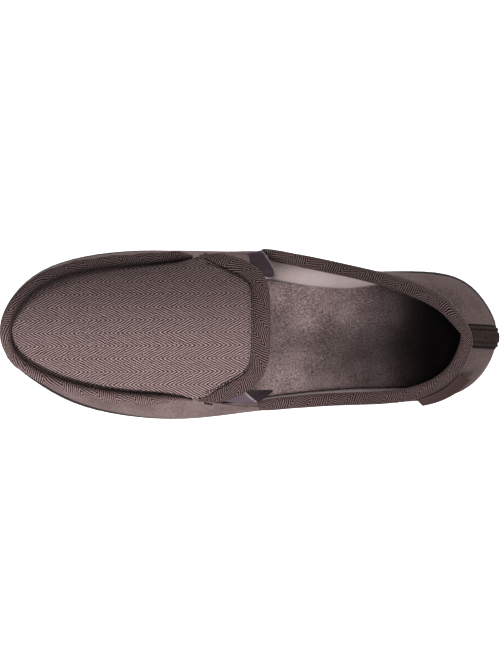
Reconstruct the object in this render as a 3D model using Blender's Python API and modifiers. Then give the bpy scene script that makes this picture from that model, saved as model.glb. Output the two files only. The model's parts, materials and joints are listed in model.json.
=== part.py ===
"""Moccasin slipper for the left foot, as separate pieces that meet a few tenths of a millimetre apart.

X runs from the toe (-X) to the heel (+X), Y from the lateral side (-Y) to the medial side (+Y), and Z up
from the floor. All sizes are in millimetres; they become metres where a mesh is made.
"""

import math

import bmesh
import bpy
import numpy as np
from mathutils import Vector

METRES = 0.001
HALF_LENGTH = 145.0
ACROSS_SHIFT = 0.27

# Sections round the shoe, one every 15 degrees of turn from the toe tip (0) to the middle of the heel (180).
# sole: the sole's edge across the shoe. top: how far the wall's top line lies inside that edge.
# height: the top line above the floor. shoulder: how far inside the edge the wall turns in, and at what
# share of its height.
COLUMNS = (
    "sole_medial", "sole_lateral", "top_medial", "top_lateral", "height",
    "shoulder_medial", "shoulder_lateral", "shoulder_share",
)
SECTIONS = (
    (1.5, 1.5, 10.5, 10.5, 38.5, -1.0, -1.0, 0.95),
    (18.0, -14.0, 11.0, 8.0, 39.0, -1.0, -1.0, 0.95),
    (34.0, -27.0, 10.6, 7.0, 40.5, -1.0, -0.5, 0.95),
    (44.0, -40.0, 10.2, 11.0, 42.0, -1.0, 0.5, 0.93),
    (48.5, -47.5, 10.0, 13.0, 45.0, -1.0, 1.5, 0.90),
    (48.5, -49.5, 6.0, 12.0, 48.5, -1.5, 2.0, 0.85),
    (44.0, -45.5, -2.0, 2.0, 54.0, -2.0, 0.0, 0.70),
    (38.0, -41.0, -2.2, 0.2, 57.0, -1.5, -1.0, 0.60),
    (36.5, -39.0, 4.0, -0.9, 55.5, 0.0, -1.5, 0.60),
    (36.5, -38.5, 15.2, 3.6, 56.5, 2.0, -1.0, 0.60),
    (31.0, -32.0, 22.0, 13.0, 58.8, 3.0, 1.0, 0.60),
    (15.5, -17.0, 22.0, 18.0, 60.4, 3.0, 2.5, 0.60),
    (-0.5, -0.5, 21.0, 21.0, 60.8, 3.0, 3.0, 0.60),
)

# Sole
FOREFOOT_THICKNESS = 9.0
HEEL_THICKNESS = 13.5
HEEL_RISE_START = -60.0
HEEL_RISE_END = 60.0
TOE_SPRING = 5.0
TOE_SPRING_START = -80.0
ARCH_HEIGHT = 2.5
ARCH_MIDDLE = 32.0
ARCH_HALF_SPAN = 42.0
LIP_HEIGHT = 3.0
TREAD_DEPTH = 1.5
TREAD_WIDTH = 3.2

# Upper
WALL_THICKNESS = 2.4
FEATHER_INSET = 6.0
LOWER_SWELL = -1.0
LOWER_SWELL_SHARE = 0.15
SEAT_GAP = 0.3
ROLL_HEIGHT = 3.0
ROLL_WIDTH = 8.5
ROLL_FADE = 20.0
TURN_STEPS = 96
NOTCH_STEP = 21
WALL_ROWS_NEAR_TOP = (0.0, 0.8, 2.2, 4.2, 6.6, 9.0)
WALL_ROWS_BELOW = (0.3, 0.6, 0.85, 1.0)

# Plug
PLUG_AXIS = 0.5
PLUG_HEIGHT = 74.5
PLUG_RISE = 0.244
PLUG_RIDGE_BEND = -0.0001
PLUG_FALL = 15.0
PLUG_FALL_GROWTH = 0.04
PLUG_FALL_POWER = 2.2
PLUG_FALL_REACH = 40.0
SEAM_SHOULDER = 4.0
THROAT_DEPTH = 38.0
THROAT_SIDE_POWER = 4.2
THROAT_REAR_POWER = 0.625
PLUG_HALF_COLUMNS = (0.3, 0.55, 0.72, 0.83, 0.9, 0.95, 0.985, 1.0)
PLUG_COLUMNS = (*(-column for column in reversed(PLUG_HALF_COLUMNS)), 0.0, *PLUG_HALF_COLUMNS)
THROAT_ROWS = 5

# Bindings and gores
BINDING_GAP = 0.35
BINDING_LEAF = 1.2
BINDING_LEG = 9.0
COLLAR_FIRST_STEP = 25
THROAT_END_COLUMN = 2
GORE_THICKNESS = 1.2
GORE_OFFSET = -5.0

# Insole
INSOLE_THICKNESS = 5.0

# Back strip and side tab
STRIP_HALF_WIDTH = 7.6
STRIP_THICKNESS = 1.2
TAB_THICKNESS = 0.9
TAB_HEIGHT = 9.0
TAB_FLARE = 2.6
TAB_FIRST_TURN = 212.0
TAB_LAST_TURN = 229.0


def closed_curve(values):
    """Smooth closed curve through values set evenly round one full turn, as a function of the turn."""
    knots = np.array(values, dtype=float)
    count = len(knots)
    unit = np.eye(count)
    system = 4.0 * unit + np.roll(unit, 1, axis=1) + np.roll(unit, -1, axis=1)
    bend = np.linalg.solve(system, 6.0 * (np.roll(knots, -1) - 2.0 * knots + np.roll(knots, 1)))

    def value_at(turn):
        place = (turn / 360.0 * count) % count
        before = int(place) % count
        after = (before + 1) % count
        right = place - int(place)
        left = 1.0 - right
        curved = (left**3 - left) * bend[before] + (right**3 - right) * bend[after]
        return left * knots[before] + right * knots[after] + curved / 6.0

    return value_at


def section_curve(medial_name, lateral_name):
    medial = [row[COLUMNS.index(medial_name)] for row in SECTIONS]
    lateral = [row[COLUMNS.index(lateral_name)] for row in SECTIONS]
    return closed_curve(medial + lateral[-2:0:-1])


sole_across = section_curve("sole_medial", "sole_lateral")
top_inset = section_curve("top_medial", "top_lateral")
top_height = section_curve("height", "height")
shoulder_inset = section_curve("shoulder_medial", "shoulder_lateral")
shoulder_share = section_curve("shoulder_share", "shoulder_share")


def smooth_step(value):
    share = min(max(value, 0.0), 1.0)
    return share * share * (3.0 - 2.0 * share)


def turn_of(step):
    return 360.0 * step / TURN_STEPS


def outline_point(turn, inset):
    """Point in plan on the sole's edge at a turn, moved inward by an inset."""
    def edge(angle):
        return Vector((-HALF_LENGTH * math.cos(math.radians(angle)), sole_across(angle) + ACROSS_SHIFT))

    along = (edge(turn + 0.25) - edge(turn - 0.25)).normalized()
    return edge(turn) + Vector((along.y, -along.x)) * inset


def sole_bottom(x):
    spring = TOE_SPRING * max(0.0, (TOE_SPRING_START - x) / (HALF_LENGTH + TOE_SPRING_START)) ** 2
    reach = min(abs(x - ARCH_MIDDLE) / ARCH_HALF_SPAN, 1.0)
    return spring + ARCH_HEIGHT * (0.5 + 0.5 * math.cos(math.pi * reach))


def sole_top(x):
    spring = TOE_SPRING * max(0.0, (TOE_SPRING_START - x) / (HALF_LENGTH + TOE_SPRING_START)) ** 2
    rise = smooth_step((x - HEEL_RISE_START) / (HEEL_RISE_END - HEEL_RISE_START))
    return spring + FOREFOOT_THICKNESS + (HEEL_THICKNESS - FOREFOOT_THICKNESS) * rise


def wall_section(turn):
    """Outer face of the wall on one section: distances down from its top, with inset and height there."""
    seat = sole_top(outline_point(turn, FEATHER_INSET).x) + SEAT_GAP
    top = top_height(turn)
    corners = np.array((
        (top_inset(turn), top),
        (shoulder_inset(turn), seat + shoulder_share(turn) * (top - seat)),
        (LOWER_SWELL, seat + LOWER_SWELL_SHARE * (top - seat)),
        (FEATHER_INSET, seat),
    ))
    share = np.linspace(0.0, 1.0, 41)
    weights = np.stack(((1 - share) ** 3, 3 * (1 - share) ** 2 * share, 3 * (1 - share) * share**2, share**3), axis=1)
    curve = weights @ corners
    lengths = np.linalg.norm(np.diff(curve, axis=0), axis=1)
    return np.concatenate(((0.0,), np.cumsum(lengths))), curve


def roll_share(turn):
    """One along the toe roll, falling to nothing at the two notches."""
    from_toe = min(turn % 360.0, 360.0 - turn % 360.0)
    return smooth_step((turn_of(NOTCH_STEP) - from_toe) / ROLL_FADE)


def wall_point(turn, down, out):
    """Point on the wall a distance down from its top line and out from its face."""
    lengths, curve = wall_section(turn)

    def on_curve(distance):
        return np.array((np.interp(distance, lengths, curve[:, 0]), np.interp(distance, lengths, curve[:, 1])))

    place = min(max(down, 0.0), lengths[-1])
    downward = on_curve(min(place + 0.5, lengths[-1])) - on_curve(max(place - 0.5, 0.0))
    downward = downward / np.linalg.norm(downward)
    outward = np.array((downward[1], -downward[0]))
    if 0.0 < down < ROLL_WIDTH:
        out = out + ROLL_HEIGHT * roll_share(turn) * math.sin(math.pi * (down / ROLL_WIDTH) ** 0.6)
    inset, height = on_curve(place) + (down - place) * downward + out * outward
    plan = outline_point(turn, inset)
    return Vector((plan.x, plan.y, height))


def plug_height(x, y):
    """Height of the plug's outer face above the floor."""
    ridge = PLUG_HEIGHT + PLUG_RISE * x + PLUG_RIDGE_BEND * x * x
    fall = PLUG_FALL + PLUG_FALL_GROWTH * x
    return ridge - fall * (abs(y - PLUG_AXIS) / PLUG_FALL_REACH) ** PLUG_FALL_POWER


def plug_normal(x, y):
    step = 0.2
    slope_x = (plug_height(x + step, y) - plug_height(x - step, y)) / (2.0 * step)
    slope_y = (plug_height(x, y + step) - plug_height(x, y - step)) / (2.0 * step)
    return Vector((-slope_x, -slope_y, 1.0)).normalized()


def plug_rib_point(turn, column):
    """Point on the rib between the two seam points at one turn, from lateral (-1) to medial (1)."""
    lateral = wall_point(-turn, 0.0, 0.0)
    medial = wall_point(turn, 0.0, 0.0)
    place = lateral.lerp(medial, 0.5 + 0.5 * column)
    near = medial if column > 0.0 else lateral
    from_seam = (near.xy - place.xy).length
    sink = max(0.0, 1.0 - from_seam / SEAM_SHOULDER) ** 2
    height = plug_height(place.x, place.y) + sink * (near.z - plug_height(near.x, near.y))
    return Vector((place.x, place.y, height))


def throat_reach(column):
    """How far the plug runs back behind the notches at a column."""
    return THROAT_DEPTH * (1.0 - abs(column) ** THROAT_SIDE_POWER) ** THROAT_REAR_POWER


def throat_edge(column):
    rib = plug_rib_point(turn_of(NOTCH_STEP), column)
    return Vector((rib.x + throat_reach(column), rib.y))


def throat_point(column, inward, out):
    """Point a distance inward from the plug's free edge, over the plug, and out from its face."""
    step = 0.004
    along = (throat_edge(min(column + step, 1.0)) - throat_edge(max(column - step, -1.0))).normalized()
    place = throat_edge(column) + Vector((-along.y, along.x)) * inward
    base = Vector((place.x, place.y, plug_height(place.x, place.y)))
    return base + plug_normal(place.x, place.y) * out


def add_face(mesh, corners):
    different = list(dict.fromkeys(corners))
    if len(different) > 2:
        mesh.faces.new(different)


def make_object(name, mesh, material, collection):
    bmesh.ops.scale(mesh, vec=(METRES, METRES, METRES), verts=mesh.verts)
    data = bpy.data.meshes.new(name)
    mesh.to_mesh(data)
    mesh.free()
    data.materials.append(material)
    made = bpy.data.objects.new(name, data)
    collection.objects.link(made)
    return made


def make_material(name, colour, roughness):
    material = bpy.data.materials.new(name)
    material.use_nodes = True
    shader = material.node_tree.nodes["Principled BSDF"]
    shader.inputs["Base Color"].default_value = (*colour, 1.0)
    shader.inputs["Roughness"].default_value = roughness
    return material


def thicken(target, thickness, offset):
    shell = target.modifiers.new("thickness", "SOLIDIFY")
    shell.thickness = thickness * METRES
    shell.offset = offset
    shell.use_even_offset = True


def loft(sections):
    """Closed solid through rings of points, with a cap on each end."""
    mesh = bmesh.new()
    rings = [[mesh.verts.new(point) for point in section] for section in sections]
    for ring, following in zip(rings, rings[1:]):
        for place, vertex in enumerate(ring):
            before = place - 1
            mesh.faces.new((ring[before], vertex, following[place], following[before]))
    mesh.faces.new(rings[0])
    mesh.faces.new(rings[-1][::-1])
    bmesh.ops.recalc_face_normals(mesh, faces=mesh.faces)
    return mesh


def sheet(rows):
    """Open surface through rows of points."""
    mesh = bmesh.new()
    lines = [[mesh.verts.new(point) for point in row] for row in rows]
    for line, following in zip(lines, lines[1:]):
        for place in range(len(line) - 1):
            mesh.faces.new((line[place], line[place + 1], following[place + 1], following[place]))
    return mesh


def ring_stack(rings):
    """Closed solid through rings round the shoe, first ring on top, with ribs across the top and bottom."""
    mesh = bmesh.new()
    levels = [[mesh.verts.new(point) for point in ring] for ring in rings]
    for upper_ring, lower_ring in zip(levels, levels[1:]):
        for place in range(TURN_STEPS):
            before = place - 1
            mesh.faces.new((upper_ring[before], upper_ring[place], lower_ring[place], lower_ring[before]))
    for ring in (levels[0], levels[-1]):
        for step in range(TURN_STEPS // 2):
            add_face(mesh, (ring[step], ring[step + 1], ring[-step - 1], ring[-step]))
    bmesh.ops.recalc_face_normals(mesh, faces=mesh.faces)
    return mesh


def outline_ring(inset, height_at):
    plans = [outline_point(turn_of(step), inset) for step in range(TURN_STEPS)]
    return [Vector((plan.x, plan.y, height_at(plan.x))) for plan in plans]


for old_object in list(bpy.data.objects):
    bpy.data.objects.remove(old_object)
slipper = bpy.data.collections.new("moccasin_slipper")
cutters = bpy.data.collections.new("cutters")
cutters.hide_render = True
bpy.context.scene.collection.children.link(slipper)
bpy.context.scene.collection.children.link(cutters)

rubber = make_material("sole_rubber", (0.03, 0.028, 0.027), 0.8)
cloth = make_material("upper_cloth", (0.17, 0.12, 0.11), 0.9)
binding_cloth = make_material("binding_cloth", (0.11, 0.075, 0.07), 0.9)
elastic = make_material("gore_elastic", (0.12, 0.085, 0.10), 0.85)
velour = make_material("insole_velour", (0.16, 0.12, 0.115), 1.0)
strip_cloth = make_material("strip_cloth", (0.035, 0.026, 0.023), 0.9)
tab_weave = make_material("tab_weave", (0.09, 0.06, 0.055), 0.8)

# Outsole: a lip round the top, a step below it, a rounded foot and cross grooves in the flat treads
sole_rings = (
    outline_ring(0.8, sole_top),
    outline_ring(0.0, lambda x: sole_top(x) - 0.8),
    outline_ring(0.0, lambda x: sole_top(x) - LIP_HEIGHT),
    outline_ring(1.1, lambda x: sole_top(x) - LIP_HEIGHT - 0.7),
    outline_ring(0.6, lambda x: sole_bottom(x) + 2.2),
    outline_ring(1.6, lambda x: sole_bottom(x) + 0.5),
    outline_ring(3.2, sole_bottom),
)
outsole = make_object("outsole", ring_stack(sole_rings), rubber, slipper)
groove_mesh = bmesh.new()
for groove_x, groove_half_span in (
    (-70.0, 34.0), (-56.0, 37.0), (-42.0, 38.0), (-28.0, 36.0), (86.0, 25.0), (98.0, 25.0), (110.0, 23.0), (122.0, 18.0),
):
    bar = bmesh.ops.create_cube(groove_mesh, size=1.0)["verts"]
    bmesh.ops.scale(groove_mesh, vec=(TREAD_WIDTH, 2.0 * groove_half_span, 2.0 * TREAD_DEPTH), verts=bar)
    bmesh.ops.translate(groove_mesh, vec=(groove_x, -0.5, 0.0), verts=bar)
groove_cutter = make_object("tread_grooves", groove_mesh, rubber, cutters)
groove_cutter.hide_render = True
groove_cutter.display_type = "WIRE"
tread_cut = outsole.modifiers.new("tread", "BOOLEAN")
tread_cut.operation = "DIFFERENCE"
tread_cut.solver = "EXACT"
tread_cut.object = groove_cutter

# Insole: a thin pad that lies on the outsole and follows the wall's lower inside
insole_rings = (
    outline_ring(8.6, lambda x: sole_top(x) + SEAT_GAP + INSOLE_THICKNESS),
    outline_ring(7.6, lambda x: sole_top(x) + SEAT_GAP + INSOLE_THICKNESS - 1.0),
    outline_ring(9.2, lambda x: sole_top(x) + SEAT_GAP),
)
insole = make_object("insole", ring_stack(insole_rings), velour, slipper)

# Upper: the wall's band and the plug's ribs are one open surface, thickened inward
upper_mesh = bmesh.new()
band = []
for band_step in range(TURN_STEPS):
    band_turn = turn_of(band_step)
    wall_length = wall_section(band_turn)[0][-1]
    top_rows = WALL_ROWS_NEAR_TOP
    low_rows = [top_rows[-1] + share * (wall_length - top_rows[-1]) for share in WALL_ROWS_BELOW]
    band.append([upper_mesh.verts.new(wall_point(band_turn, down, 0.0)) for down in (*top_rows, *low_rows)])
for band_step in range(TURN_STEPS):
    line = band[band_step - 1]
    following = band[band_step]
    for row in range(len(line) - 1):
        upper_mesh.faces.new((line[row], following[row], following[row + 1], line[row + 1]))
last_column = len(PLUG_COLUMNS) - 1
ribs = []
for rib_step in range(NOTCH_STEP + 1):
    inner_columns = PLUG_COLUMNS[1:-1]
    if rib_step == 0:
        middle = [band[0][0] for column in inner_columns]
    else:
        middle = [upper_mesh.verts.new(plug_rib_point(turn_of(rib_step), column)) for column in inner_columns]
    ribs.append([band[-rib_step][0], *middle, band[rib_step][0]])
for throat_row in range(1, THROAT_ROWS + 1):
    middle = []
    for column in PLUG_COLUMNS[1:-1]:
        rib_place = plug_rib_point(turn_of(NOTCH_STEP), column)
        back = rib_place.x + throat_reach(column) * throat_row / THROAT_ROWS
        middle.append(upper_mesh.verts.new((back, rib_place.y, plug_height(back, rib_place.y))))
    ribs.append([band[-NOTCH_STEP][0], *middle, band[NOTCH_STEP][0]])
for rib, following in zip(ribs, ribs[1:]):
    for column in range(last_column):
        add_face(upper_mesh, (rib[column], following[column], following[column + 1], rib[column + 1]))
upper = make_object("upper", upper_mesh, cloth, slipper)
thicken(upper, WALL_THICKNESS, -1.0)

# Bindings: a strip folded over an edge, with a leg on each face and a rounded fold
inside_face = -WALL_THICKNESS - BINDING_GAP
outer_leg = BINDING_GAP + BINDING_LEAF
inner_leg = inside_face - BINDING_LEAF
fold_middle = -0.5 * WALL_THICKNESS
fold_radius = outer_leg - fold_middle
fold = [
    (-fold_radius * math.sin(math.radians(angle)), fold_middle + fold_radius * math.cos(math.radians(angle)))
    for angle in (45.0, 90.0, 135.0)
]
half_leg = WALL_ROWS_NEAR_TOP[3]
binding_section = (
    (BINDING_LEG, outer_leg), (half_leg, outer_leg), (0.0, outer_leg), *fold,
    (0.0, inner_leg), (half_leg, inner_leg), (BINDING_LEG, inner_leg),
    (BINDING_LEG, inside_face), (half_leg, inside_face), (-BINDING_GAP, inside_face),
    (-BINDING_GAP, BINDING_GAP), (half_leg, BINDING_GAP), (BINDING_LEG, BINDING_GAP),
)
collar_sections = [
    [wall_point(turn_of(step), depth, out) for depth, out in binding_section]
    for step in range(COLLAR_FIRST_STEP, TURN_STEPS - COLLAR_FIRST_STEP + 1)
]
make_object("collar_binding", loft(collar_sections), binding_cloth, slipper)
throat_sections = [
    [throat_point(column, depth, out) for depth, out in binding_section]
    for column in PLUG_COLUMNS[THROAT_END_COLUMN:-THROAT_END_COLUMN]
]
make_object("throat_binding", loft(throat_sections), binding_cloth, slipper)

# Gores: elastic from under the plug's free edge, sagging across the notch, to the wall's inside
for gore_name, side in (("gore_medial", 1.0), ("gore_lateral", -1.0)):
    gore_rows = []
    for share in np.linspace(0.0, 1.0, 8):
        edge_column = side * (0.97 - 0.13 * share)
        wall_turn = side * (82.0 + 12.0 * share)
        under_plug = throat_point(edge_column, 5.0, GORE_OFFSET)
        plug_edge = throat_point(edge_column, 0.5, GORE_OFFSET)
        wall_top = wall_point(wall_turn, 2.0, GORE_OFFSET)
        wall_low = wall_point(wall_turn + 4.0 * side * share, 12.0, GORE_OFFSET)
        sag = plug_edge.lerp(wall_top, 0.5) - Vector((0.0, 0.0, 1.5 * share))
        gore_rows.append((under_plug, plug_edge, sag, wall_top, wall_low))
    gore = make_object(gore_name, sheet(gore_rows), elastic, slipper)
    thicken(gore, GORE_THICKNESS, 0.0)

# Back strip: a band down the middle of the heel, just proud of the wall
strip_rows = []
heel_length = wall_section(180.0)[0][-1]
strip_out = BINDING_GAP + 0.5 * STRIP_THICKNESS
for down_share in np.linspace(0.0, 1.0, 8):
    down = BINDING_LEG + BINDING_GAP + down_share * (heel_length - BINDING_LEG - 7.0)
    per_degree = (wall_point(180.5, down, strip_out) - wall_point(179.5, down, strip_out)).length
    half_turn = STRIP_HALF_WIDTH / per_degree
    strip_turns = np.linspace(180.0 - half_turn, 180.0 + half_turn, 6)
    strip_rows.append([wall_point(strip_turn, down, strip_out) for strip_turn in strip_turns])
back_strip = make_object("back_strip", sheet(strip_rows), strip_cloth, slipper)
thicken(back_strip, STRIP_THICKNESS, 0.0)

# Side tab: a short woven strip that comes out from under the collar binding and stands off the wall
tab_rows = []
for down_share in np.linspace(0.0, 1.0, 4):
    down = BINDING_LEG + BINDING_GAP + TAB_HEIGHT * down_share
    out = BINDING_GAP + 0.5 * TAB_THICKNESS + TAB_FLARE * down_share**1.5
    tab_turns = np.linspace(TAB_FIRST_TURN, TAB_LAST_TURN, 8)
    tab_rows.append([wall_point(tab_turn, down, out) for tab_turn in tab_turns])
side_tab = make_object("side_tab", sheet(tab_rows), tab_weave, slipper)
thicken(side_tab, TAB_THICKNESS, 0.0)
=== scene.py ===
"""Looks of a moccasin slipper for the left foot: cloth, pile, elastic, rubber and thread."""

import functools
import json
import math

import bmesh
import bpy
import numpy as np
from mathutils import Matrix, Vector

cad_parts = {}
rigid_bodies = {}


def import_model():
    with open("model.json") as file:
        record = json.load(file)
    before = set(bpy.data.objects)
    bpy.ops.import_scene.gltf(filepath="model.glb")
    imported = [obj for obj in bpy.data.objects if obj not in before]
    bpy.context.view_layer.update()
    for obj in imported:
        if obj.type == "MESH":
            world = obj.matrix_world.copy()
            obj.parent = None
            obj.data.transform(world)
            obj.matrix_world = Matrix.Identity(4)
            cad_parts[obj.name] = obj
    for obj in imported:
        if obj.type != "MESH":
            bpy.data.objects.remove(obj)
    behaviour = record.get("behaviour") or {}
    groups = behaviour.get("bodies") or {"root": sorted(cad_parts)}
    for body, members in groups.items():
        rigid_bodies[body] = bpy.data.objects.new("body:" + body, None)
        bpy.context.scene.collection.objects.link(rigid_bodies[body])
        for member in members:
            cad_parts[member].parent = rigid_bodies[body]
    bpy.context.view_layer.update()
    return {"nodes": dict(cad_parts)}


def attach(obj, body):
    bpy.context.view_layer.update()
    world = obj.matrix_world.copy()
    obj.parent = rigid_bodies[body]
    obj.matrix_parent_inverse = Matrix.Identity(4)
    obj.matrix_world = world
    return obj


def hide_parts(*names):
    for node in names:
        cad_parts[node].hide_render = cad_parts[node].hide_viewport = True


for old_object in list(bpy.data.objects):
    bpy.data.objects.remove(old_object)
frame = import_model()

# Camera, light and backdrop: the photo looks almost straight down from a little on the lateral side, with
# the toe to the left. A broad key comes from the lateral side and the backdrop is plain white.
camera_tilt = math.radians(2.0)
camera_distance = 2.0
camera_target = Vector((0.0009, 0.0, 0.010))
camera_data = bpy.data.cameras.new("camera")
camera_data.sensor_width = 36.0
camera_data.lens = 184.4
camera_data.dof.use_dof = False
camera = bpy.data.objects.new("camera", camera_data)
camera_back = Vector((0.0, -math.sin(camera_tilt), math.cos(camera_tilt)))
camera.location = camera_target + camera_distance * camera_back
camera.rotation_euler = (camera_tilt, 0.0, 0.0)
scene = bpy.context.scene
scene.collection.objects.link(camera)
scene.camera = camera
scene.view_settings.view_transform = "Standard"


def add_light(name, location, target, size, energy):
    data = bpy.data.lights.new(name, "AREA")
    data.size = size
    data.energy = energy
    light = bpy.data.objects.new(name, data)
    light.location = location
    light.rotation_euler = (Vector(target) - Vector(location)).to_track_quat("-Z", "Y").to_euler()
    scene.collection.objects.link(light)


add_light("key", (-0.36, -0.99, 0.80), (-0.02, 0.0, 0.04), 0.45, 15.6)
add_light("top", (0.05, 0.00, 1.60), (0.0, 0.0, 0.04), 0.50, 11.0)
add_light("heel_fill", (0.70, 0.60, 0.45), (0.08, 0.02, 0.04), 0.40, 7.5)


def add_node(tree, kind, values, **settings):
    """Shader node with its settings; each input is linked to a socket or set to a value."""
    node = tree.nodes.new(kind)
    for name, value in settings.items():
        setattr(node, name, value)
    for place, value in values.items():
        if isinstance(value, bpy.types.NodeSocket):
            tree.links.new(value, node.inputs[place])
        else:
            node.inputs[place].default_value = value
    return node


world = bpy.data.worlds.new("world")
world.use_nodes = True
sky = add_node(world.node_tree, "ShaderNodeTexCoord", {}).outputs["Generated"]
sky_axes = add_node(world.node_tree, "ShaderNodeSeparateXYZ", {"Vector": sky})
sky_strength = add_node(
    world.node_tree, "ShaderNodeMapRange",
    {"Value": sky_axes.outputs["Z"], "From Min": -0.3, "From Max": 0.3, "To Min": 0.55, "To Max": 0.05},
)
world_light = world.node_tree.nodes["Background"]
world_light.inputs["Color"].default_value = (1.0, 1.0, 1.0, 1.0)
world.node_tree.links.new(sky_strength.outputs["Result"], world_light.inputs["Strength"])
scene.world = world


def new_material(name, roughness, sheen):
    material = bpy.data.materials.new(name)
    material.use_nodes = True
    shader = material.node_tree.nodes["Principled BSDF"]
    shader.inputs["Roughness"].default_value = roughness
    shader.inputs["Specular IOR Level"].default_value = 0.1
    shader.inputs["Sheen Weight"].default_value = sheen
    shader.inputs["Sheen Roughness"].default_value = 0.5
    shader.inputs["Sheen Tint"].default_value = (0.45, 0.34, 0.33, 1.0)
    return material, material.node_tree, shader


def shaded(tree, colour, axis, start, end, low):
    """Colour that falls to a share of itself along one axis of the slipper, in metres."""
    place = add_node(tree, "ShaderNodeTexCoord", {}).outputs["Object"]
    axes = add_node(tree, "ShaderNodeSeparateXYZ", {"Vector": place})
    share = add_node(
        tree, "ShaderNodeMapRange",
        {"Value": axes.outputs[axis], "From Min": start, "From Max": end, "To Min": 1.0, "To Max": low},
        interpolation_type="SMOOTHSTEP",
    )
    mixed = add_node(
        tree, "ShaderNodeMixRGB", {"Fac": 1.0, "Color1": colour, "Color2": share.outputs["Result"]},
        blend_type="MULTIPLY",
    )
    return mixed.outputs["Color"]


def finish_piece(name, mesh, material, slot, *nodes):
    """Object from a mesh in millimetres, riding with the slipper and standing for the named solids."""
    bmesh.ops.scale(mesh, vec=(0.001, 0.001, 0.001), verts=mesh.verts)
    data = bpy.data.meshes.new(name)
    mesh.to_mesh(data)
    mesh.free()
    data.shade_smooth()
    data.materials.append(material)
    piece = bpy.data.objects.new(name, data)
    scene.collection.objects.link(piece)
    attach(piece, "root")
    if nodes:
        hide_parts(*nodes)
    return piece


def thicken(piece, millimetres, offset):
    shell = piece.modifiers.new("thickness", "SOLIDIFY")
    shell.thickness = millimetres * 0.001
    shell.offset = offset


def cloth_sheet(along_steps, across_steps, point_at, cloth_at):
    """Grid laid on a surface: point_at places it in space, cloth_at on the flat cloth, in millimetres."""
    mesh = bmesh.new()
    bmesh.ops.create_grid(mesh, x_segments=along_steps, y_segments=across_steps, size=0.5)
    layer = mesh.loops.layers.uv.new("cloth")
    places = {vertex: (vertex.co.x + 0.5, vertex.co.y + 0.5) for vertex in mesh.verts}
    flat = {vertex: cloth_at(*place) for vertex, place in places.items()}
    for face in mesh.faces:
        for loop in face.loops:
            loop[layer].uv = (flat[loop.vert][0] * 0.01, flat[loop.vert][1] * 0.01)
    for vertex, place in places.items():
        vertex.co = point_at(*place)
    bmesh.ops.remove_doubles(mesh, verts=mesh.verts, dist=0.0005)
    bmesh.ops.dissolve_degenerate(mesh, edges=mesh.edges, dist=0.0001)
    return mesh


floor_mesh = bmesh.new()
bmesh.ops.create_grid(floor_mesh, x_segments=1, y_segments=1, size=3.0)
floor_data = bpy.data.meshes.new("backdrop")
floor_mesh.to_mesh(floor_data)
floor_mesh.free()
floor_material = bpy.data.materials.new("backdrop_white")
floor_material.use_nodes = True
floor_shader = floor_material.node_tree.nodes["Principled BSDF"]
floor_shader.inputs["Base Color"].default_value = (0.8, 0.8, 0.8, 1.0)
floor_shader.inputs["Roughness"].default_value = 1.0
floor_shader.inputs["Emission Color"].default_value = (1.0, 1.0, 1.0, 1.0)
floor_shader.inputs["Emission Strength"].default_value = 1.0
floor_data.materials.append(floor_material)
floor = bpy.data.objects.new("backdrop", floor_data)
floor.visible_diffuse = False
floor.visible_glossy = False
scene.collection.objects.link(floor)

# The last: every piece follows the same sections round the shoe, one every 15 degrees of turn from the toe
# tip (0) by the medial side to the heel (180) and back by the lateral side. Sizes are in millimetres.
half_length = 145.0
across_shift = 0.27
section_columns = (
    "sole_medial", "sole_lateral", "top_medial", "top_lateral", "height",
    "shoulder_medial", "shoulder_lateral", "shoulder_share", "swell_medial", "swell_lateral",
)
sections = (
    (1.5, 1.5, 8.3, 8.3, 38.5, -1.0, -1.0, 0.95, -1.0, -1.0),
    (18.0, -14.0, 8.4, 6.8, 39.0, -1.0, -1.0, 0.95, -0.6, -1.4),
    (34.0, -27.0, 9.6, 7.0, 40.5, -1.0, -0.5, 0.95, 0.3, 0.0),
    (44.0, -40.0, 9.9, 11.0, 42.0, -1.0, 0.5, 0.93, 0.6, -1.4),
    (48.5, -47.5, 10.2, 13.0, 45.0, -1.0, 1.5, 0.90, 0.4, -4.0),
    (48.5, -49.5, 7.0, 12.0, 48.5, -1.5, 2.0, 0.85, -0.4, -5.9),
    (44.0, -45.5, -2.0, 2.0, 54.0, -2.0, 0.0, 0.70, -1.0, -3.6),
    (38.0, -41.0, -2.2, 0.2, 57.0, -1.5, -1.0, 0.60, -1.0, -3.0),
    (36.5, -39.0, 4.0, -0.9, 55.5, 0.0, -1.5, 0.60, -1.1, -2.8),
    (36.5, -38.5, 15.2, 3.6, 56.5, 2.0, -1.0, 0.60, -1.8, -3.6),
    (31.0, -32.0, 22.0, 13.0, 58.8, 3.0, 1.0, 0.60, -2.4, -6.2),
    (15.5, -17.0, 22.0, 18.0, 60.4, 3.0, 2.5, 0.60, -2.8, -6.0),
    (-0.5, -0.5, 21.0, 21.0, 60.8, 3.0, 3.0, 0.60, -4.0, -4.0),
)
notch_turn = 78.75
wall_thickness = 2.4
feather_inset = 6.0
seat_gap = 0.3


def closed_curve(values):
    """Smooth closed curve through values set evenly round one full turn, as a function of the turn."""
    knots = np.array(values, dtype=float)
    count = len(knots)
    unit = np.eye(count)
    system = 4.0 * unit + np.roll(unit, 1, axis=1) + np.roll(unit, -1, axis=1)
    bend = np.linalg.solve(system, 6.0 * (np.roll(knots, -1) - 2.0 * knots + np.roll(knots, 1)))

    def value_at(turn):
        place = (turn / 360.0 * count) % count
        before = int(place) % count
        after = (before + 1) % count
        right = place - int(place)
        left = 1.0 - right
        curved = (left**3 - left) * bend[before] + (right**3 - right) * bend[after]
        return left * knots[before] + right * knots[after] + curved / 6.0

    return value_at


def section_curve(medial_name, lateral_name):
    medial = [row[section_columns.index(medial_name)] for row in sections]
    lateral = [row[section_columns.index(lateral_name)] for row in sections]
    return closed_curve(medial + lateral[-2:0:-1])


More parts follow.
